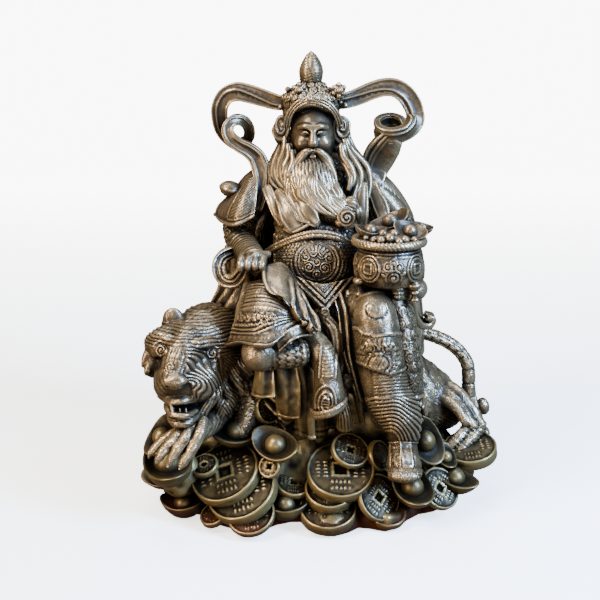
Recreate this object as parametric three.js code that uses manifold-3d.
// A seated god of wealth on a crouching tiger, over a mound of coins and boat-shaped ingots.
// The ornament is one bronze-coloured casting, so it is one solid: every form below is joined into it.
// Millimetres, +Z up, the figure faces -Y, and the origin is in the middle of the flat underside.
import * as THREE from "three";
import { mergeVertices } from "three/addons/utils/BufferGeometryUtils.js";
import { LoftGeometry } from "three/addons/geometries/LoftGeometry.js";
import Module from "manifold-3d";

const wasm = await Module();
wasm.setup();

// The mound: a scalloped foot and a hill, with coins and ingots heaped on it.
const MOUND_HALF_WIDTH = 92;
const MOUND_HALF_DEPTH = 78;
const MOUND_MIDDLE_Y = -4;
const MOUND_HEIGHT = 50;
const MOUND_ROUNDNESS = 0.8;
const SCALLOPS = 12;
const SCALLOP_DEPTH = 4.5;
const COIN_LIP_WIDTH = 1.7;
const COIN_LIP_DEPTH = 0.9;
const COIN_HOLE_SHARE = 0.34;
const LARGE_COIN_THICKNESS = 7;
const SMALL_COIN_THICKNESS = 4;
const INGOT_HALF_LENGTH = 16;
const INGOT_HALF_WIDTH = 11;
const INGOT_DEPTH = 8;
const RIM_COIN_RADIUS = 14.5;

// The treasure bowl on the left knee.
const BOWL_CENTRE = [38, -50];
const BOWL_FOOT_LEVEL = 135;
const BOWL_HEIGHT = 27;
const BOWL_RIM_RADIUS = 20.3;
const BOWL_RIM_THICKNESS = 3.2;
const BOWL_BELLY_RADIUS = 19;
const BOWL_LEG_RADIUS = 3;

// The scarf that leaves the crown and curls over each shoulder.
const SCARF_HALF_WIDTH = 5.2;
const SCARF_HALF_THICKNESS = 2.8;

// The figure and its mount.
const HEAD_CENTRE = [-3.5, -9, 212];
const HEAD_RADII = [13, 15.5, 18.5];
const CROWN_RADIUS = 15.8;
const CROWN_BAND_RISE = 10;
const CROWN_HEIGHT = 18;
const FINIAL_RADIUS = 6.7;
const FINIAL_HEIGHT = 21;
const EAR_RADIUS = 8;
const BELLY_RADIUS = 23;
const TAIL_RADIUS = 4.4;
const TIGER_HEAD_CENTRE = [-71, -50, 98];
const TIGER_HEAD_RADIUS = 24;

// The solid's triangle count after thinning.
const TRIANGLES = 9800;
// A merge may turn a face by no more than the angle that has this cosine.
const SHARPEST_TURN = 0.3;

const vector = (p) => new THREE.Vector3(...p);
const circlePoint = (angle, radius) => [radius * Math.cos(angle), radius * Math.sin(angle)];

// A closed geometry as a solid that can be joined and cut.
function solid(geometry) {
  const bare = new THREE.BufferGeometry();
  bare.setAttribute("position", geometry.getAttribute("position"));
  bare.setIndex(geometry.index);
  const merged = mergeVertices(bare, 1e-3);
  const corners = merged.index.array;
  const kept = [];
  for (let i = 0; i < corners.length; i += 3) {
    const [a, b, c] = [corners[i], corners[i + 1], corners[i + 2]];
    if (a !== b && b !== c && a !== c) kept.push(a, b, c);
  }
  return new wasm.Manifold(
    new wasm.Mesh({
      numProp: 3,
      vertProperties: merged.attributes.position.array,
      triVerts: new Uint32Array(kept),
    }),
  );
}

const joined = (solids) => solids.reduce((whole, next) => whole.add(next));

// A placement by a middle point and turns in degrees about X, then Y, then Z.
function placement(centre, turn = [0, 0, 0]) {
  const angles = turn.map((degrees) => THREE.MathUtils.degToRad(degrees));
  return new THREE.Matrix4()
    .makeRotationFromEuler(new THREE.Euler(...angles, "ZYX"))
    .setPosition(...centre);
}

// An oval ball.
function ball(centre, radii, turn = [0, 0, 0], columns = 8, rows = 6) {
  const geometry = new THREE.SphereGeometry(1, columns, rows);
  geometry.scale(...radii);
  geometry.applyMatrix4(placement(centre, turn));
  return solid(geometry);
}

// The outlines that a form can have across its line, as [across, through] pairs of at most 1.
function oval(sides) {
  return Array.from({ length: sides }, (_, i) => circlePoint(((i + 0.5) / sides) * 2 * Math.PI, 1));
}
const STRAP = [[1, 1], [0.3, 0.55], [-0.3, 0.55], [-1, 1], [-1, -1], [1, -1]];
const FLAT = [[1, 1], [-1, 1], [-1, -1], [1, -1]];

// The across vector of a band that shows its face to the front.
const facing = (tangent) => new THREE.Vector3().crossVectors(tangent, new THREE.Vector3(0, 1, 0));

// A form along a smooth line. Each station is [x, y, z, half width, half depth], and the width runs along the
// across vector: one for the whole form, or one worked out from the line's direction.
function sweep(stations, { across = [1, 0, 0], outline = oval(8), steps = 6 } = {}) {
  const line = new THREE.CatmullRomCurve3(stations.map((s) => vector(s.slice(0, 3))));
  const size = new THREE.CatmullRomCurve3(
    stations.map(([, , , width, depth = width]) => new THREE.Vector3(width, depth, 0)),
  );
  const sections = [];
  for (let i = 0; i <= steps; i++) {
    const t = i / steps;
    const tangent = line.getTangent(t);
    const wanted = across === facing ? facing(tangent) : vector(across);
    const side = wanted.addScaledVector(tangent, -wanted.dot(tangent)).normalize();
    const other = new THREE.Vector3().crossVectors(tangent, side);
    const { x: width, y: depth } = size.getPoint(t);
    const centre = line.getPoint(t);
    sections.push(
      outline.map(([u, v]) =>
        centre.clone().addScaledVector(side, u * width).addScaledVector(other, v * depth),
      ),
    );
  }
  return solid(new LoftGeometry(sections, { capStart: true, capEnd: true }));
}

// A turned form about its own upright axis. The profile is [radius, height] pairs from axis to axis.
function turned(profile, centre, turn = [0, 0, 0], segments = 14) {
  const points = profile.map(([radius, height]) => new THREE.Vector2(radius, height));
  const geometry = new THREE.LatheGeometry(points, segments);
  geometry.rotateX(Math.PI / 2);
  geometry.applyMatrix4(placement(centre, turn));
  return solid(geometry);
}

// A cast coin with a raised lip and, if it is pierced, a sunk square. Its middle is at the centre.
function coin({ at, radius, thickness = SMALL_COIN_THICKNESS, turn, pierced = false }) {
  const half = thickness / 2;
  const face = half - COIN_LIP_DEPTH;
  const segments = radius > RIM_COIN_RADIUS ? 20 : 14;
  const profile = [
    [0, -half], [radius, -half], [radius, half], [radius - COIN_LIP_WIDTH, half], [0, face],
  ];
  const disc = turned(profile, at, turn, segments);
  if (!pierced) return disc;
  const holeWidth = radius * COIN_HOLE_SHARE;
  const hole = new THREE.BoxGeometry(holeWidth, holeWidth, COIN_LIP_DEPTH * 2);
  hole.translate(0, 0, face);
  hole.applyMatrix4(placement(at, turn));
  return disc.subtract(solid(hole));
}

// A boat-shaped ingot: an oval dish whose ends rise, with a dome in the middle of it.
function ingot({ at, turn, size = 1 }) {
  const [length, width, depth] = [INGOT_HALF_LENGTH, INGOT_HALF_WIDTH, INGOT_DEPTH].map((v) => v * size);
  const place = placement(at, turn);
  const rings = [[0.5, -1], [0.86, -0.5], [1, 0.1], [0.85, 0.12], [0.6, -0.15], [0.35, 0]];
  const hull = rings.map(([reach, height]) =>
    oval(12).map(([u, v]) => {
      const rise = 0.5 * u * u * reach * reach;
      return vector([u * reach * length, v * reach * width, (height + rise) * depth]).applyMatrix4(place);
    }),
  );
  const dome = new THREE.SphereGeometry(width * 0.62, 10, 7);
  dome.applyMatrix4(place);
  return solid(new LoftGeometry(hull, { capStart: true, capEnd: true })).add(solid(dome));
}

// What lies in the heap in front and at the sides: where its middle is and how it is turned.
const large = LARGE_COIN_THICKNESS;
const COINS = [
  { at: [-52.5, -63.5, 28.5], radius: 20, thickness: large, turn: [29, -21, 0], pierced: true },
  { at: [-43, -70, 20.5], radius: 20, thickness: large, turn: [28, -21, 0] },
  { at: [-38, -79.5, 11.5], radius: 13.5, turn: [34, -10, 0] },
  { at: [-65, -60, 32], radius: 8, turn: [26, -13, 0], pierced: true },
  { at: [-59.5, -74, 8], radius: 7.5, turn: [28, -17, 0] },
  { at: [-27.5, -70.5, 36], radius: 6.5, turn: [55, -40, 0], pierced: true },
  { at: [-14.5, -63, 22.5], radius: 10.5, turn: [23, 8, 0], pierced: true },
  { at: [12, -64.5, 30], radius: 19, thickness: large, turn: [30, 1, 0], pierced: true },
  { at: [17, -56, 41.5], radius: 11.5, turn: [34, 19, 0], pierced: true },
  { at: [6, -68.5, 20.5], radius: 14, thickness: large, turn: [28, -1, 0] },
  { at: [5, -73, 10.5], radius: 16, thickness: large, turn: [22, -1, 0] },
  { at: [33, -72, 18], radius: 13.5, turn: [43, 45, 0], pierced: true },
  { at: [38.5, -70.5, 7.5], radius: 10.5, turn: [24, 4, 0], pierced: true },
  { at: [69, -59, 17.5], radius: 12.5, turn: [40, 37, 0], pierced: true },
  { at: [91.5, -26, 27.5], radius: 16, thickness: large, turn: [15, -8, 0] },
  { at: [34, -56, 36.5], radius: 9, turn: [33, 64, 0] },
  { at: [-26, -53, 49], radius: 7.5, turn: [41, 2, 0] },
  { at: [-17.5, -51.5, 62.5], radius: 5.5, turn: [51, 1, 0] },
  { at: [-30, -49, 62], radius: 8.5, turn: [39, 62, 0] },
];
const INGOTS = [
  { at: [-24.5, -66, 47], turn: [34, 14, -36], size: 0.92 },
  { at: [-88.5, -62, 50.5], turn: [1, -46, 53], size: 0.82 },
  { at: [-85, -66, 36.5], turn: [9, 18, -73], size: 1.25 },
  { at: [-85, -50, 25], turn: [27, -24, -7], size: 1.1 },
  { at: [-77.5, -58, 8], turn: [6, -5, -21], size: 0.9 },
  { at: [60, -58, 46.5], turn: [28, 57, -39], size: 0.92 },
  { at: [52.5, -68, 22.5], turn: [9, 27, -66], size: 1 },
  { at: [79, -50, 20], turn: [6, 18, -31], size: 0.9 },
  { at: [74.5, -44, 30.5], turn: [-5, 35, -75], size: 0.55 },
  { at: [-19, -72, 13], turn: [2, 0, 1], size: 0.85 },
  { at: [-47.5, -52, 50], turn: [23, 1, 3], size: 1 },
  { at: [-90, -36, 30], turn: [22, -30, -70], size: 1 },
];

// Coins and ingots in turn round the back and the far sides of the foot.
function backHeap() {
  const [from, to, places] = [-0.02 * Math.PI, 1.04 * Math.PI, 9];
  const heap = [];
  for (let i = 0; i < places; i++) {
    const angle = from + ((to - from) * i) / (places - 1);
    const [x, y] = circlePoint(angle, 1);
    const turn = [30, 0, THREE.MathUtils.radToDeg(angle) + 90];
    const at = (reach, z) => [
      MOUND_HALF_WIDTH * reach * x, MOUND_MIDDLE_Y + MOUND_HALF_DEPTH * reach * y, z,
    ];
    if (i % 2) {
      heap.push(coin({ at: at(0.94, 14), radius: RIM_COIN_RADIUS, thickness: large, turn }));
      heap.push(ingot({ at: at(0.76, 33), turn, size: 0.95 }));
    } else {
      heap.push(ingot({ at: at(0.94, 16), turn, size: 1.15 }));
      heap.push(coin({ at: at(0.76, 32), radius: RIM_COIN_RADIUS, thickness: large, turn }));
    }
  }
  return heap;
}

function mound() {
  // Each level of the hill is a height share and a reach share, and the scallops fade upwards.
  const levels = [[0, 0.93, 1], [0.14, 0.99, 1], [0.36, 0.86, 0.6], [0.68, 0.68, 0], [1, 0.42, 0]];
  const around = SCALLOPS * 4;
  const hill = levels.map(([height, reach, scallop]) =>
    Array.from({ length: around }, (_, j) => {
      const angle = (j / around) * 2 * Math.PI;
      const wave = Math.abs(Math.sin((SCALLOPS * angle) / 2)) - 0.5;
      const grow = reach + (scallop * wave * SCALLOP_DEPTH * 2) / MOUND_HALF_WIDTH;
      const [x, y] = circlePoint(angle, 1).map((v) => grow * Math.sign(v) * Math.abs(v) ** MOUND_ROUNDNESS);
      return new THREE.Vector3(
        MOUND_HALF_WIDTH * x, MOUND_MIDDLE_Y + MOUND_HALF_DEPTH * y, height * MOUND_HEIGHT,
      );
    }),
  );
  return joined([
    solid(new LoftGeometry(hill, { capStart: true, capEnd: true })),
    // The rougher middle of the heap, which fills the space under the tiger and the cloth.
    ball([8, -22, 46], [54, 26, 26], [0, 0, 0], 14, 9),
    ball([72, 28, 32], [16, 17, 15]),
    ball([-64, -30, 40], [17, 17, 17]),
    ball([-53, -46, 48], [12, 14, 14]),
    ball([-80, -56, 26], [13, 14, 14]),
    ...COINS.map(coin),
    ...INGOTS.map(ingot),
    ...backHeap(),
  ]);
}

function tigerHead() {
  const [x, y, z] = TIGER_HEAD_CENTRE;
  const r = TIGER_HEAD_RADIUS;
  const at = (u, v, w) => [x + u * r, y + v * r, z + w * r];
  const sized = (...shares) => shares.map((share) => share * r);
  const limb = (stations, sides = 6) =>
    sweep(
      stations.map(([u, v, w, radius]) => [...at(u, v, w), radius * r]),
      { across: [1, 0.1, 0], outline: oval(sides), steps: 4 },
    );
  return joined([
    // The skull, the nape, the muzzle, the cheeks, the nose, the throat and the lower jaw.
    ball(at(0, 0, 0.05), sized(1, 0.92, 0.72), [14, 0, -8], 16, 10),
    ball(at(0.27, 0.67, 0.25), sized(0.92, 0.75, 0.58), [10, 0, 0], 12, 8),
    ball(at(-0.15, -0.75, -0.42), sized(0.7, 0.73, 0.56), [20, 0, -8], 12, 8),
    ball(at(0.35, -0.5, -0.5), sized(0.42, 0.5, 0.54), [0, 12, 0]),
    ball(at(-0.64, -0.64, -0.44), sized(0.3, 0.42, 0.42), [0, -10, 0]),
    ball(at(-0.27, -1.46, -0.35), sized(0.28, 0.18, 0.18), [20, 0, -8]),
    ball(at(0.04, -0.42, -0.92), sized(0.46, 0.42, 0.46)),
    ball(at(-0.15, -0.9, -1.27), sized(0.4, 0.52, 0.2), [16, 0, -8]),
    // The bridge, the brows and the eyes.
    limb([[-0.02, -0.8, 0.38, 0.24], [-0.08, -1.26, 0.15, 0.27], [-0.19, -1.45, -0.2, 0.26]]),
    limb([[-0.9, -0.6, 0.34, 0.13], [-0.56, -0.95, 0.52, 0.16], [-0.15, -1.06, 0.54, 0.15]]),
    limb([[0.1, -1.04, 0.52, 0.15], [0.44, -0.8, 0.44, 0.16], [0.72, -0.35, 0.18, 0.13]]),
    ball(at(-0.58, -0.92, 0.24), sized(0.18, 0.18, 0.18)),
    ball(at(0.48, -0.8, 0.14), sized(0.18, 0.18, 0.16)),
    // The ear, the fold of the jowl and the tufts of the mane.
    ball(at(-0.44, 0.08, 0.72), sized(0.24, 0.15, 0.32), [0, -8, 0]),
    limb([[0.68, -0.42, -0.46, 0.14], [0.62, -0.6, -0.75, 0.14], [0.2, -0.84, -1.36, 0.08]]),
    limb([[0.68, -0.25, -0.16, 0.2], [0.98, -0.3, -0.5, 0.15], [1.18, -0.34, -0.92, 0.04]], 5),
    limb([[0.83, -0.1, -0.1, 0.2], [1.12, -0.13, -0.34, 0.16], [1.36, -0.17, -0.54, 0.04]], 5),
    limb([[0.46, -0.34, -0.83, 0.2], [0.6, -0.34, -1.2, 0.15], [0.68, -0.34, -1.52, 0.04]], 5),
  ]);
}

// A toe that bends down from its knuckle to its tip.
const toe = (stations) => sweep(stations, { outline: oval(6), steps: 3 });

function tiger() {
  const tail = TAIL_RADIUS;
  const toes = [0, 1, 2, 3];
  return joined([
    tigerHead(),
    // The shoulder, the back and the rump, under the figure.
    sweep(
      [
        [-62, -34, 88, 15, 16], [-54, -22, 91, 20, 20], [-36, -8, 88, 24, 24], [-10, 2, 76, 27, 26],
        [24, 10, 65, 28, 27], [60, 10, 50, 23, 23], [80, 8, 42, 12, 14],
      ],
      { across: [0.4, -0.9, 0], outline: oval(12), steps: 10 },
    ),
    // The front legs: one reaches forward with long toes, the other is folded under the jaw.
    sweep([[-52, -40, 74, 12, 12], [-60, -56, 64, 9.5, 9], [-66, -68, 60, 8, 7.5], [-71, -80, 58, 8, 6]]),
    ...toes.map((i) =>
      toe([
        [-65 - 4 * i, -79 + 0.6 * i * i, 64 - 0.6 * i * i, 3],
        [-71.5 - 5.3 * i, -89 + 1.1 * i * i, 54 - 0.5 * i, 2.9],
        [-75 - 5.3 * i, -91 + 1.1 * i * i, 47.5, 2.2],
      ]),
    ),
    sweep([[-42, -34, 74, 13, 13], [-40, -48, 62, 9, 9], [-44, -56, 50, 6.5, 6]], { steps: 3 }),
    // The haunch, the three folds over the hock, and the hind paw.
    ball([70, 5, 45], [19, 17, 18], [0, 20, 0], 12, 8),
    ...[0, 1, 2].map((i) =>
      sweep(
        [
          [80 - 4.7 * i, 4 - 2 * i, 59 - 2.5 * i, 3.5], [87 - 4.5 * i, -4 - 2 * i, 56 - 1.5 * i, 3.5],
          [94 - 4.8 * i, -10 - 2 * i, 48.5, 3.4], [99 - 5 * i, -15 - 1.5 * i, 40 + 1.5 * i, 2.8],
        ],
        { outline: oval(6), steps: 4 },
      ),
    ),
    ball([93, -6, 36], [9.5, 11, 9]),
    ...[0, 1, 2].map((i) =>
      toe([
        [101 - 5 * i, -13 - 1.5 * i, 34.5 + 1.5 * i, 3.4],
        [97 - 5.5 * i, -19 - 1.5 * i, 30.5 + 1.5 * i, 3.3],
        [92 - 6 * i, -23 - 1.5 * i, 25.5 + 2.5 * i, 2.3],
      ]),
    ),
    // The other hind leg, folded flat on the far side.
    ball([48, 34, 44], [19, 17, 18], [0, 0, 20], 12, 8),
    sweep([[54, 48, 44, 9, 8], [68, 54, 38, 7, 6], [78, 50, 34, 6, 5]], { steps: 3 }),
    ...[-6, 0, 6].map((aside) =>
      toe([[76, 50 + aside, 34, 3.6], [84, 50 + 1.2 * aside, 32, 3.3], [90, 50 + 1.4 * aside, 29, 2.3]]),
    ),
    // The tail, which rises from the heap and bends over to the back, with a knob near its root.
    sweep(
      [
        [101.5, 6, 30.5, tail], [99.5, 8, 38.5, tail], [97, 10, 45.5, tail], [95.5, 12, 53.5, tail],
        [95.5, 13, 62, tail], [94, 14, 69.5, tail], [89.5, 15, 76.5, tail], [83, 15, 82, tail],
        [75.5, 15, 86, tail], [67.5, 15, 88.5, tail], [49, 15, 88, tail],
      ],
      { across: [0, 1, 0], outline: oval(8), steps: 16 },
    ),
    ball([104.5, 10, 42], [3.4, 4, 4.8], [0, -12, 0], 6, 4),
  ]);
}

function torso() {
  const belly = BELLY_RADIUS;
  return joined([
    sweep(
      [
        [0, 8, 80, 33, 27], [1, 2, 104, 31, 27], [2, -6, 124, 27, 25], [1, -17, 138, belly + 1, belly],
        [1, -20, 149, belly, belly], [0, -10, 166, 25, 19], [-3, -1, 181, 29, 15], [-4, 2, 192, 22, 12],
        [-4, 0, 204, 11, 10],
      ],
      { outline: oval(18), steps: 14 },
    ),
    // The rope over the belly, the belt, and the knotted sash below.
    sweep(
      [[-22, -28, 160, 2], [-8, -38, 163, 2], [10, -38, 163, 2], [23, -28, 160, 2]],
      { outline: oval(4), steps: 4 },
    ),
    sweep(
      [
        [-25, -20, 134, 3.4, 2.6], [-12, -38, 128, 3.4, 2.6], [4, -43, 126, 3.4, 2.6],
        [18, -38, 128, 3.4, 2.6], [27, -20, 133, 3.4, 2.6],
      ],
      { across: [0, 0, 1], outline: FLAT, steps: 5 },
    ),
    ball([3, -45, 128], [5.5, 2.4, 3.4]),
    sweep(
      [
        [-17, -38, 122, 3.4, 2.6], [-5, -48, 116, 3.4, 2.6], [3, -52, 112, 3.8, 3],
        [11, -48, 116, 3.4, 2.6], [20, -38, 123, 3.4, 2.6],
      ],
      { across: [0, 0, 1], outline: FLAT, steps: 3 },
    ),
    // The robe behind, with its folds, which spreads over the tiger's back.
    sweep(
      [
        [-4, 12, 186, 25, 9], [-3, 20, 156, 30, 13], [0, 29, 122, 38, 15], [3, 38, 94, 46, 15],
        [5, 45, 62, 50, 13],
      ],
      { outline: oval(14), steps: 8 },
    ),
    ...[-28, -10, 9, 28].map((aside, i) =>
      sweep(
        [
          [aside * 0.6 - 3, 17, 180, 4, 5], [aside * 0.8, 28, 140, 6, 7], [aside * 1.1, 41, 100, 8, 8],
          [aside * 1.3 + 2, 52 - (i % 2) * 3, 60, 9, 6],
        ],
        { outline: oval(5), steps: 3 },
      ),
    ),
  ]);
}

function legs() {
  return joined([
    // The right thigh, its flared armour skirt with a broad hem, and the knee.
    sweep(
      [[-12, -4, 114, 20, 19], [-20, -34, 117, 20, 17], [-26, -58, 112, 18, 14], [-27, -72, 106, 14, 10]],
      { outline: oval(12), steps: 6 },
    ),
    sweep(
      [[-29, -44, 141, 11, 5], [-30, -56, 132, 14, 8], [-31, -65, 121, 17, 11], [-33, -73, 110, 19, 13]],
      { outline: oval(12), steps: 5 },
    ),
    sweep(
      [
        [-50, -60, 106, 4, 1.8], [-43.5, -75, 111, 5, 1.8], [-34, -86, 114, 5, 1.8],
        [-26.5, -87, 114, 5, 1.8], [-20.5, -82, 116, 5, 1.8], [-12.5, -72, 120, 5, 1.8],
      ],
      { across: [0, -0.4, 1], outline: FLAT, steps: 10 },
    ),
    sweep(
      [
        [-22, -78, 109, 5, 2.4], [-16.5, -80, 114, 5, 2.4], [-10.5, -77, 116, 5, 2.4],
        [-4.5, -69, 115, 5, 2.4],
      ],
      { across: [0, -0.3, 1], outline: FLAT, steps: 5 },
    ),
    ball([-32.5, -73, 104], [10, 11.5, 10.5], [0, 0, 0], 12, 8),
    // The shin that crosses to the hanging boot, with its sole and the disc at its ankle.
    sweep(
      [[-30, -68, 101, 7, 9], [-18.5, -69, 101.5, 7, 9], [-8, -66, 102, 7, 9]],
      { across: [0, 0, 1], outline: oval(8), steps: 3 },
    ),
    sweep(
      [
        [-9, -60, 108, 7, 8], [0, -66, 102, 7.2, 8], [3.5, -69, 95, 7.4, 8], [4.5, -71, 86.5, 7.7, 8],
        [5.5, -73, 78.5, 8, 8], [5.5, -74, 72, 8, 7],
      ],
      { across: [1, 0, 0], outline: oval(10), steps: 8 },
    ),
    sweep(
      [
        [-3.5, -70, 69, 2.5, 2.4], [-1, -79, 70.5, 2.6, 2.6], [5.5, -83, 74, 2.6, 2.6],
        [10.5, -79, 77, 2.6, 2.6], [13, -70, 76.5, 2.5, 2.4],
      ],
      { across: [0, 0, 1], outline: FLAT, steps: 6 },
    ),
    ball([14, -61, 83], [4.4, 4.4, 4.6], [0, 0, 0], 7, 5),
    // The left thigh and the robe over the shin, the ringed cuff, and the boot.
    sweep(
      [[14, -6, 116, 19, 20], [24, -34, 120, 18, 17], [31, -52, 120, 15, 14], [33, -60, 118, 12, 11]],
      { outline: oval(12), steps: 5 },
    ),
    sweep(
      [
        [28, -56, 131, 8, 8], [29.5, -61, 123.5, 11.6, 11], [31, -64, 113.5, 12.6, 12.5],
        [33, -65, 101, 12.8, 13], [35, -66, 88.5, 12.8, 12.5], [38, -67, 77.5, 12.4, 12],
        [44.5, -69, 65.5, 11, 10.5], [46.5, -70, 55, 8.6, 9], [46, -73, 46, 8.2, 10],
        [46.5, -78, 39.5, 9.6, 12], [47, -80, 35, 9.4, 12],
      ],
      { outline: oval(14), steps: 16 },
    ),
    sweep(
      [
        [50.5, -62, 73.5, 5, 2.4], [56.5, -60, 70, 5.6, 2.6], [58.5, -58, 64.5, 5.4, 2.6],
        [54.5, -60, 59.5, 4, 2.4],
      ],
      { across: [0, 1, 0], outline: FLAT, steps: 5 },
    ),
    ball([46, -88, 39], [9, 7.5, 4.4], [8, 0, 0]),
    // The robe's side beyond the left leg, and the cloth edge inside it.
    sweep(
      [
        [41, -42, 128, 8, 14], [44.5, -47, 114.5, 9, 16], [47, -50, 102.5, 9, 17], [49, -51, 91, 8.6, 17],
        [50, -53, 80, 8.2, 15], [52, -54, 66, 7.4, 12],
      ],
    ),
    sweep(
      [
        [14, -48, 131, 5, 3.4], [16, -53, 118, 6, 3.4], [17, -56, 104, 6, 3.4], [19, -57, 90, 6, 3.4],
        [24, -57, 72, 8, 4],
      ],
      { outline: oval(6), steps: 5 },
    ),
    // The cloth that hangs between the legs and over the tiger's side, with its folds.
    sweep(
      [[4, -34, 116, 20, 15], [4, -42, 92, 22, 13], [4, -46, 66, 24, 12], [4, -46, 44, 26, 13]],
      { steps: 3 },
    ),
    sweep(
      [[-26, -34, 98, 20, 20], [-30, -44, 84, 15, 14], [-26, -48, 72, 13, 12], [-14, -52, 60, 12, 10]],
      { steps: 3 },
    ),
    ...[
      [[-34, -58, 98, 6, 5], [-36, -63, 86, 9, 6], [-35, -60, 78, 10, 5]],
      [[-20, -60, 98, 5, 5], [-20, -66, 82, 6, 5], [-19, -64, 70, 6.5, 5]],
      [[-8, -60, 94, 4, 4], [-7, -63, 78, 4, 3.5], [-8, -60, 60, 5, 3]],
      // The light folds of the sash, which end in a curl on the right thigh.
      [[-8, -40, 132, 5, 4], [-7, -50, 124, 5, 4], [-3, -58, 114, 4, 4], [0, -62, 106, 3.4, 3]],
      [[-18, -34, 136, 5, 4], [-15, -46, 130, 5, 4], [-10, -56, 121, 4, 4], [-3, -62, 112, 3, 3]],
    ].map((fold) => sweep(fold, { outline: oval(7), steps: 4 })),
  ]);
}

function arms() {
  const [bowlX, bowlY] = BOWL_CENTRE;
  const bowlFoot = BOWL_FOOT_LEVEL;
  const parts = [
    // The right arm: sleeve, ringed cuff, and the fist on the thigh, under a flared shoulder guard.
    sweep(
      [
        [-27, 3, 190, 8, 10], [-36, 2, 181, 9.5, 12], [-45, -3, 167, 9.5, 11], [-46.5, -8, 156, 8.6, 10],
        [-42.5, -24, 150, 7.6, 8], [-38, -44, 148, 6.6, 6.6],
      ],
      { across: [0.8, 0, 0.6], outline: oval(12), steps: 10 },
    ),
    sweep(
      [
        [-38, -4, 192, 8, 5], [-43, -8, 182, 13, 9], [-46.5, -10, 172, 16.5, 11],
        [-50, -11, 164.5, 19, 12],
      ],
      { across: [0.65, -0.75, 0], outline: oval(10), steps: 5 },
    ),
    ball([-50.5, -6, 182], [7.2, 6.8, 5.2], [0, 18, 0], 10, 7),
    ball([-37.5, -48, 147.5], [7.6, 8, 6.4], [0, 0, 20], 8, 6),
    // The left arm, behind the bowl, which it holds from below.
    sweep(
      [
        [22, 5, 190, 9, 11], [35, 5, 178, 11, 13], [45, 2, 163, 11, 12], [50, -8, 148, 10, 10],
        [bowlX + 14, bowlY + 24, bowlFoot + 2, 8.5, 8], [bowlX + 12, bowlY + 12, bowlFoot - 3, 7, 6],
      ],
      { across: [0.8, 0, 0.6], outline: oval(12), steps: 9 },
    ),
    // The scarf's lower ends: one loops under the right wrist, one curls behind the left knee.
    sweep(
      [
        [-44, -16, 149.5, 3.2, 2.6], [-52.5, -26, 148, 3.8, 2.8], [-56.5, -31, 144, 4.2, 3],
        [-56, -35, 139.5, 4.3, 3], [-52, -38, 135.5, 4.2, 3], [-46.5, -41, 136.5, 4, 3],
        [-43, -44, 142, 3.6, 2.6], [-41.5, -46, 147, 3, 2.4],
      ],
      { across: facing, outline: FLAT, steps: 14 },
    ),
    sweep(
      [[-47, -30, 134, 6, 4], [-51.5, -30, 126, 8, 5], [-57, -28, 112, 9, 6], [-58, -26, 97, 10, 8]],
      { outline: oval(7), steps: 4 },
    ),
    sweep(
      [[-49, -4, 148, 5, 7], [-48, 2, 132, 9, 9], [-46, 6, 110, 14, 10], [-42, 8, 92, 16, 12]],
      { outline: oval(6), steps: 3 },
    ),
    sweep(
      [
        [51.5, -30, 128, 5.2, 2], [53.5, -27, 119, 5.4, 2], [56, -22, 111, 5.6, 2], [61, -18, 105, 5.2, 2],
        [66, -16, 105, 4.6, 2], [66.5, -16, 109.5, 4, 2],
      ],
      { across: [0, 1, 0.1], outline: FLAT, steps: 8 },
    ),
    sweep(
      [[46, 4, 152, 6, 9], [50, 8, 130, 9, 10], [52, 10, 106, 12, 12], [50, 12, 80, 16, 14]],
      { steps: 2 },
    ),
    // The back of each sleeve, which hangs between the arm and the body.
    sweep(
      [[-29, 7, 182, 8, 8], [-35, 8, 166, 8, 8], [-40, 7, 149, 8, 9], [-40, 7, 130, 10, 9]],
      { outline: oval(6), steps: 3 },
    ),
    sweep(
      [[27, 5, 182, 8, 8], [32, 5, 165, 8, 8], [35, 4, 148, 9, 9], [38, 6, 130, 10, 9]],
      { outline: oval(6), steps: 3 },
    ),
  ];
  for (let i = 0; i < 4; i++) {
    const drop = i * 2.7;
    parts.push(
      ball([-43 + i * 3.9, -54.5 + i * 0.5, 148], [2.2, 4.2, 4.8], [0, 0, 10], 6, 4),
      sweep(
        [
          [bowlX + 20, bowlY + 6, bowlFoot + 2 - drop, 2.2],
          [bowlX + 13, bowlY - 4, bowlFoot + 1 - drop, 2.4],
          [bowlX + 4, bowlY - 6, bowlFoot + 0.5 - drop, 2.1],
        ],
        { outline: oval(4), steps: 2 },
      ),
    );
  }
  return joined(parts);
}

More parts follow.
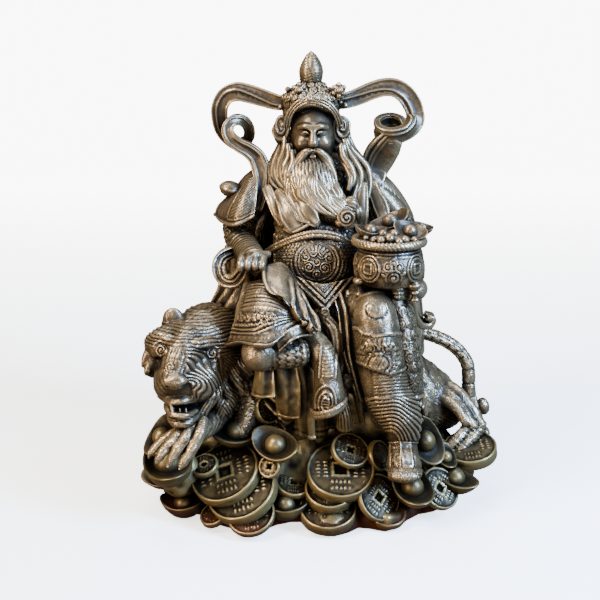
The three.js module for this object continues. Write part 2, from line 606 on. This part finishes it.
function head() {
  const [x, y, z] = HEAD_CENTRE;
  const [rx, ry, rz] = HEAD_RADII;
  // The face is calm and plain, on even proportions: its features are shares of the head's own size.
  const at = (u, v, w) => [x + u * rx, y + v * ry, z + w * rz];
  const parts = [
    ball(HEAD_CENTRE, HEAD_RADII, [0, 0, 0], 16, 11),
    // The hair behind.
    sweep(
      [
        [x, y + 8, z + 4, 12, 8], [x, y + 17, z - 12, 15, 8], [x, y + 22, z - 28, 18, 7],
        [x, y + 26, z - 46, 14, 5],
      ],
      { outline: oval(10) },
    ),
    sweep(
      [[...at(0, -0.9, 0.42), 1.8], [...at(0, -1.08, 0.15), 2.2], [...at(0, -1.2, -0.08), 3]],
      { outline: oval(5), steps: 2 },
    ),
    ball(at(0, -0.95, -0.4), [4.6, 2.6, 1.9]),
    ball(at(0, -0.82, -0.68), [5, 4, 4]),
  ];
  for (const side of [-1, 1]) {
    parts.push(
      ball(at(side * 0.34, -0.86, 0.34), [4.2, 2.2, 1.3], [0, -side * 6, side * 14], 5, 3),
      ball(at(side * 0.36, -0.84, 0.13), [2.9, 1.8, 1.5], [0, 0, side * 14], 5, 3),
      ball(at(side * 0.52, -0.7, -0.16), [4.2, 3.6, 4.2], [0, 0, side * 20], 5, 4),
      // The ear piece with its scroll, the moustache end, and the locks that fall over the shoulder.
      ball([x + side * (rx + 2.6), y + 3, z + 3.5], [4.4, 3.4, EAR_RADIUS + 2], [0, side * 8, side * 24]),
      sweep(
        [
          [...at(side * 0.2, -1.02, -0.28), 1.6], [...at(side * 0.62, -0.98, -0.52), 2.2],
          [...at(side * 0.85, -0.9, -1), 2], [...at(side * 0.9, -0.95, -1.5), 1],
        ],
        { outline: oval(4) },
      ),
      sweep(
        [
          [x + side * 12, y + 2, z + 2, 4, 6], [x + side * 14, y, z - 10, 5.4, 7],
          [x + side * 19, y - 2, z - 22, 6.6, 6.5], [x + side * 25, y - 6, z - 36, 6, 5],
          [x + side * 22, y - 12, z - 49, 2.5, 3],
        ],
        { outline: oval(6) },
      ),
      sweep(
        [
          [x + side * 13, y - 6, z - 8, 3, 3], [x + side * 13.5, y - 9, z - 22, 4, 4],
          [x + side * 18, y - 13, z - 36, 4, 4], [x + side * 16, y - 17, z - 52, 2, 2],
        ],
        { outline: oval(5), steps: 3 },
      ),
    );
  }
  // The beard, blown to the figure's left: a core, and ridged locks over it.
  parts.push(
    sweep(
      [
        [x, y - 8, z - 12, 11, 7], [x - 1, y - 14, z - 22, 14, 9], [x + 3, y - 18, z - 33, 13, 8],
        [x + 11, y - 22, z - 43, 7, 5], [x + 18, y - 24, z - 49, 1.5, 1.5],
      ],
      { outline: oval(12), steps: 8 },
    ),
  );
  for (let i = 0; i < 6; i++) {
    const s = i / 2.5 - 1;
    const curve = 4 * s * s;
    parts.push(
      sweep(
        [
          [x + s * 8, y - 15 + curve, z - 14, 1.6], [x - 1 + s * 12, y - 22 + curve, z - 24, 2],
          [x + 3 + s * 11, y - 25 + curve, z - 35, 2],
          [x + 14 + s * 4, y - 26 + curve, z - 46 + s * 3, 1.2],
        ],
        { outline: oval(5), steps: 6 },
      ),
    );
  }
  return joined(parts);
}

function crown() {
  const [x, y] = HEAD_CENTRE;
  const r = CROWN_RADIUS;
  const band = HEAD_CENTRE[2] + CROWN_BAND_RISE;
  const top = band + CROWN_HEIGHT;
  const bud = FINIAL_HEIGHT;
  const centre = [x - 1, y + 4, 0];
  const parts = [
    turned(
      [
        [0, band - 4], [r - 1.5, band - 4], [r, band + 5],
        [r - 2, top - 6], [9.5, top - 1.5], [4.8, top], [FINIAL_RADIUS * 0.72, top + 1.5],
        [FINIAL_RADIUS, top + bud * 0.36], [FINIAL_RADIUS * 0.72, top + bud * 0.66], [0, top + bud],
      ],
      centre,
    ),
    sweep(
      [
        [x - 14.5, y - 4, band - 2, 2.4, 2], [x - 10, y - 12, band + 5, 2.4, 2],
        [x, y - 15, band + 9, 2.6, 2.2], [x + 10, y - 12, band + 5, 2.4, 2],
        [x + 14.5, y - 4, band - 2, 2.4, 2],
      ],
      { across: [0, 0, 1], outline: FLAT, steps: 5 },
    ),
  ];
  // Bosses of curls round the cap, and the rosette over each scarf end.
  const bosses = 8;
  for (let i = 0; i < bosses; i++) {
    const [u, v] = circlePoint(((i + 0.5) / bosses) * 2 * Math.PI, r - 3);
    parts.push(ball([centre[0] + u, centre[1] + v, top - 7], [4.6, 4.6, 4.6], [0, 0, 0], 5, 3));
  }
  for (const side of [-1, 1]) {
    parts.push(
      ball([x + side * 14.5, y - 3, top - 5], [4.4, 4, 4]),
      ball([x + side * 15.4, y - 1, top - 12], [2.6, 2.6, 2.6]),
      ball([x + side * 15.6, y - 2, top - 18], [2.6, 2.6, 2.6]),
    );
  }
  return joined(parts);
}

function scarf() {
  const w = SCARF_HALF_WIDTH;
  const t = SCARF_HALF_THICKNESS;
  const band = (stations, steps, outline = STRAP, across = facing) =>
    sweep(
      stations.map(([x, y, z, wide, thick = 1]) => [x, y, z, wide * w, thick * t]),
      { across, outline, steps },
    );
  return joined([
    // The right-hand end: out and down, once round its own curl, then over the shoulder to the chest.
    band(
      [
        [-12, -5, 231, 0.75], [-23.5, -3, 231.5, 0.8], [-40, 0, 236.5, 1], [-49, 0, 237.3, 1],
        [-56, 2, 231, 0.9], [-57.5, 4, 222, 0.85], [-54.5, 7, 212, 0.65, 1.1], [-47, 9, 206, 0.55, 1.4],
        [-39.8, 8, 211, 0.5, 1.4], [-41.5, 4, 219.5, 0.5, 1.4], [-48, 0, 222.3, 0.5, 1.4],
        [-53.5, -3, 217.5, 0.5, 1.4], [-51.2, -6, 210.2, 0.6, 1.3], [-43, -7, 205, 0.75, 1.1],
        [-35.5, -7, 200.5, 0.95], [-33, -10, 192, 0.95], [-33, -14, 182, 0.75], [-34.5, -16, 172, 0.4],
      ],
      42,
    ),
    // The left-hand end: out and down, then once round an upright scroll.
    band(
      [
        [5, -5, 231.5, 0.75], [15, -3, 232.5, 0.8], [30.5, 0, 238, 0.95], [43, 0, 240, 1],
        [51, 0, 234.5, 1.04], [56, 1, 225, 0.98], [55, -2, 218, 0.9, 0.8],
      ],
      16,
    ),
    band(
      [
        [56, 2, 221, 0.9, 0.8], [54, -3, 217.5, 0.9, 0.7], [48, -6, 214.5, 0.9, 0.6],
        [41.5, -7, 213, 0.9, 0.6], [35, -4, 214.5, 0.88, 0.6], [33.5, 1, 217.5, 0.84, 0.6], [37, 6, 220, 0.8, 0.6],
        [43.5, 9, 221, 0.76, 0.6], [49.5, 8, 219.5, 0.7, 0.6], [53, 3, 217.5, 0.6, 0.6],
      ],
      18,
      FLAT,
      [0.06, 0.42, -0.9],
    ),
    // The broad fall below that scroll, which narrows over the shoulder to the chest.
    band(
      [
        [42.5, -6, 211, 1.2, 0.8], [40, -4, 206.5, 1.6, 0.9], [36, -1, 200.5, 1.8], [33, 0, 193.5, 1.65],
        [31.5, -2, 187, 1.4], [32.5, -6, 179.5, 1.15], [34, -10, 171.5, 0.85],
      ],
      8,
    ),
  ]);
}

function treasureBowl() {
  const [x, y] = BOWL_CENTRE;
  const foot = BOWL_FOOT_LEVEL;
  const top = foot + BOWL_HEIGHT;
  const rim = BOWL_RIM_RADIUS;
  const belly = BOWL_BELLY_RADIUS;
  const parts = [
    turned(
      [
        [0, foot], [belly * 0.55, foot], [belly * 0.92, foot + 6], [belly, foot + 13],
        [belly * 0.86, top - BOWL_RIM_THICKNESS - 2], [rim, top - BOWL_RIM_THICKNESS], [rim, top],
        [rim - 3, top], [0, top + 1],
      ],
      [x, y, 0],
      [0, 0, 0],
      20,
    ),
    ingot({ at: [x - 10.5, y - 3, top + 4], turn: [10, 6, 8], size: 0.6 }),
    ingot({ at: [x + 10.5, y - 4, top + 4.5], turn: [34, 16, -10], size: 0.62 }),
    ingot({ at: [x + 1, y + 7, top + 7], turn: [16, -22, 10], size: 0.74 }),
    ball([x, y, top], [14, 14, 5]),
  ];
  for (const degrees of [215, 325, 90]) {
    const [u, v] = circlePoint(THREE.MathUtils.degToRad(degrees), belly * 0.85);
    const stations = [[6, 1], [1, 0.7], [-7, 1]].map(([height, share]) => [
      x + u,
      y + v,
      foot + height,
      BOWL_LEG_RADIUS * share,
    ]);
    parts.push(sweep(stations, { outline: oval(5), steps: 2 }));
  }
  return joined(parts);
}

// Joining so many forms leaves slivers and needless points. The points that add least to the form are merged
// into a neighbour, cheapest first, until the solid has the wanted number of triangles. Its surface stays
// closed, and points of the flat underside stay in its plane.
function thinned(shape, wantedTriangles) {
  const made = shape.getMesh();
  const points = [];
  for (let i = 0; i < made.vertProperties.length; i += made.numProp) {
    points.push(new THREE.Vector3().fromArray(made.vertProperties, i));
  }
  const faces = [];
  const facesOf = points.map(() => new Set());
  for (let i = 0; i < made.triVerts.length; i += 3) {
    const face = Array.from(made.triVerts.slice(i, i + 3));
    face.forEach((v) => facesOf[v].add(faces.length));
    faces.push(face);
  }
  const normalOf = ([a, b, c]) =>
    new THREE.Vector3().crossVectors(points[b].clone().sub(points[a]), points[c].clone().sub(points[a]));
  // Each point keeps the planes round it: their normals, offsets and areas.
  const planes = points.map(() => []);
  for (const face of faces) {
    const normal = normalOf(face);
    const area = normal.length() / 2;
    if (area < 1e-9) continue;
    normal.normalize();
    const plane = { normal, offset: -normal.dot(points[face[0]]), area };
    face.forEach((v) => planes[v].push(plane));
  }
  const form = planes.map((list) => {
    const sums = new Float64Array(10);
    for (const { normal: { x, y, z }, offset: d, area } of list) {
      const terms = [x * x, x * y, x * z, x * d, y * y, y * z, y * d, z * z, z * d, d * d];
      terms.forEach((term, i) => (sums[i] += term * area));
    }
    return sums;
  });
  const costOf = (from, to) => {
    const [xx, xy, xz, xd, yy, yz, yd, zz, zd, dd] = form[from];
    const { x, y, z } = points[to];
    const shift = xx * x * x + yy * y * y + zz * z * z + 2 * (xy * x * y + xz * x * z + yz * y * z);
    return shift + 2 * (xd * x + yd * y + zd * z) + dd + 1e-5 * points[from].distanceToSquared(points[to]);
  };
  const neighboursOf = (v) => {
    const found = new Set();
    for (const f of facesOf[v]) faces[f].forEach((w) => w !== v && found.add(w));
    return found;
  };
  const grounded = (v) => points[v].z < 1e-6;
  const allowed = (from, to) => {
    if (grounded(from) && !grounded(to)) return false;
    const around = neighboursOf(to);
    let shared = 0;
    for (const v of neighboursOf(from)) shared += around.has(v) ? 1 : 0;
    if (shared !== 2) return false;
    for (const f of facesOf[from]) {
      if (faces[f].includes(to)) continue;
      const before = normalOf(faces[f]);
      const after = normalOf(faces[f].map((v) => (v === from ? to : v)));
      if (after.lengthSq() < 1e-6) return false;
      const limit = SHARPEST_TURN * before.length() * after.length();
      if (before.lengthSq() > 1e-6 && before.dot(after) < limit) return false;
    }
    return true;
  };
  const stamp = points.map(() => 0);
  const queue = [];
  const put = (v) => {
    stamp[v]++;
    let best = null;
    for (const to of neighboursOf(v)) {
      const cost = costOf(v, to);
      if ((!best || cost < best.cost) && allowed(v, to)) best = { cost, from: v, to, stamp: stamp[v] };
    }
    if (!best) return;
    let child = queue.push(best) - 1;
    while (child > 0) {
      const parent = (child - 1) >> 1;
      if (queue[parent].cost <= queue[child].cost) break;
      [queue[parent], queue[child]] = [queue[child], queue[parent]];
      child = parent;
    }
  };
  const take = () => {
    const first = queue[0];
    const last = queue.pop();
    if (!queue.length) return first;
    queue[0] = last;
    let parent = 0;
    for (;;) {
      let least = parent;
      for (const child of [2 * parent + 1, 2 * parent + 2]) {
        if (child < queue.length && queue[child].cost < queue[least].cost) least = child;
      }
      if (least === parent) return first;
      [queue[parent], queue[least]] = [queue[least], queue[parent]];
      parent = least;
    }
  };
  points.forEach((_, v) => put(v));
  let left = faces.length;
  while (left > wantedTriangles && queue.length) {
    const { from, to, stamp: when } = take();
    if (when !== stamp[from]) continue;
    if (!allowed(from, to)) {
      put(from);
      continue;
    }
    const touched = neighboursOf(from);
    for (const f of [...facesOf[from]]) {
      if (faces[f].includes(to)) {
        faces[f].forEach((v) => facesOf[v].delete(f));
        faces[f] = null;
        left--;
      } else {
        faces[f] = faces[f].map((v) => (v === from ? to : v));
        facesOf[to].add(f);
      }
    }
    facesOf[from].clear();
    stamp[from] = -1;
    form[from].forEach((value, i) => (form[to][i] += value));
    touched.forEach(put);
  }
  const geometry = new THREE.BufferGeometry().setFromPoints(points);
  geometry.setIndex(faces.filter(Boolean).flat());
  return solid(geometry);
}

// The underside is cut flat at the level of the origin.
function belowGround() {
  const [width, depth, height] = [3 * MOUND_HALF_WIDTH, 3 * MOUND_HALF_DEPTH, 60];
  const block = new THREE.BoxGeometry(width, depth, height);
  block.translate(0, 0, -height / 2);
  return solid(block);
}

const bronze = new THREE.MeshStandardMaterial({ color: 0x6b5436, roughness: 0.4, metalness: 0.85 });

// A solid as a mesh under one name.
function named(name, shape) {
  const made = shape.getMesh();
  const geometry = new THREE.BufferGeometry();
  geometry.setAttribute("position", new THREE.BufferAttribute(new Float32Array(made.vertProperties), 3));
  geometry.setIndex(new THREE.BufferAttribute(made.triVerts, 1));
  geometry.computeVertexNormals();
  const mesh = new THREE.Mesh(geometry, bronze);
  mesh.name = name;
  return mesh;
}

const forms = [mound(), tiger(), torso(), legs(), arms(), head(), crown(), scarf(), treasureBowl()];
const ornament = thinned(joined(forms).subtract(belowGround()), TRIANGLES);

const group = new THREE.Group();
group.add(named("wealth_god_casting", ornament));
export default group;
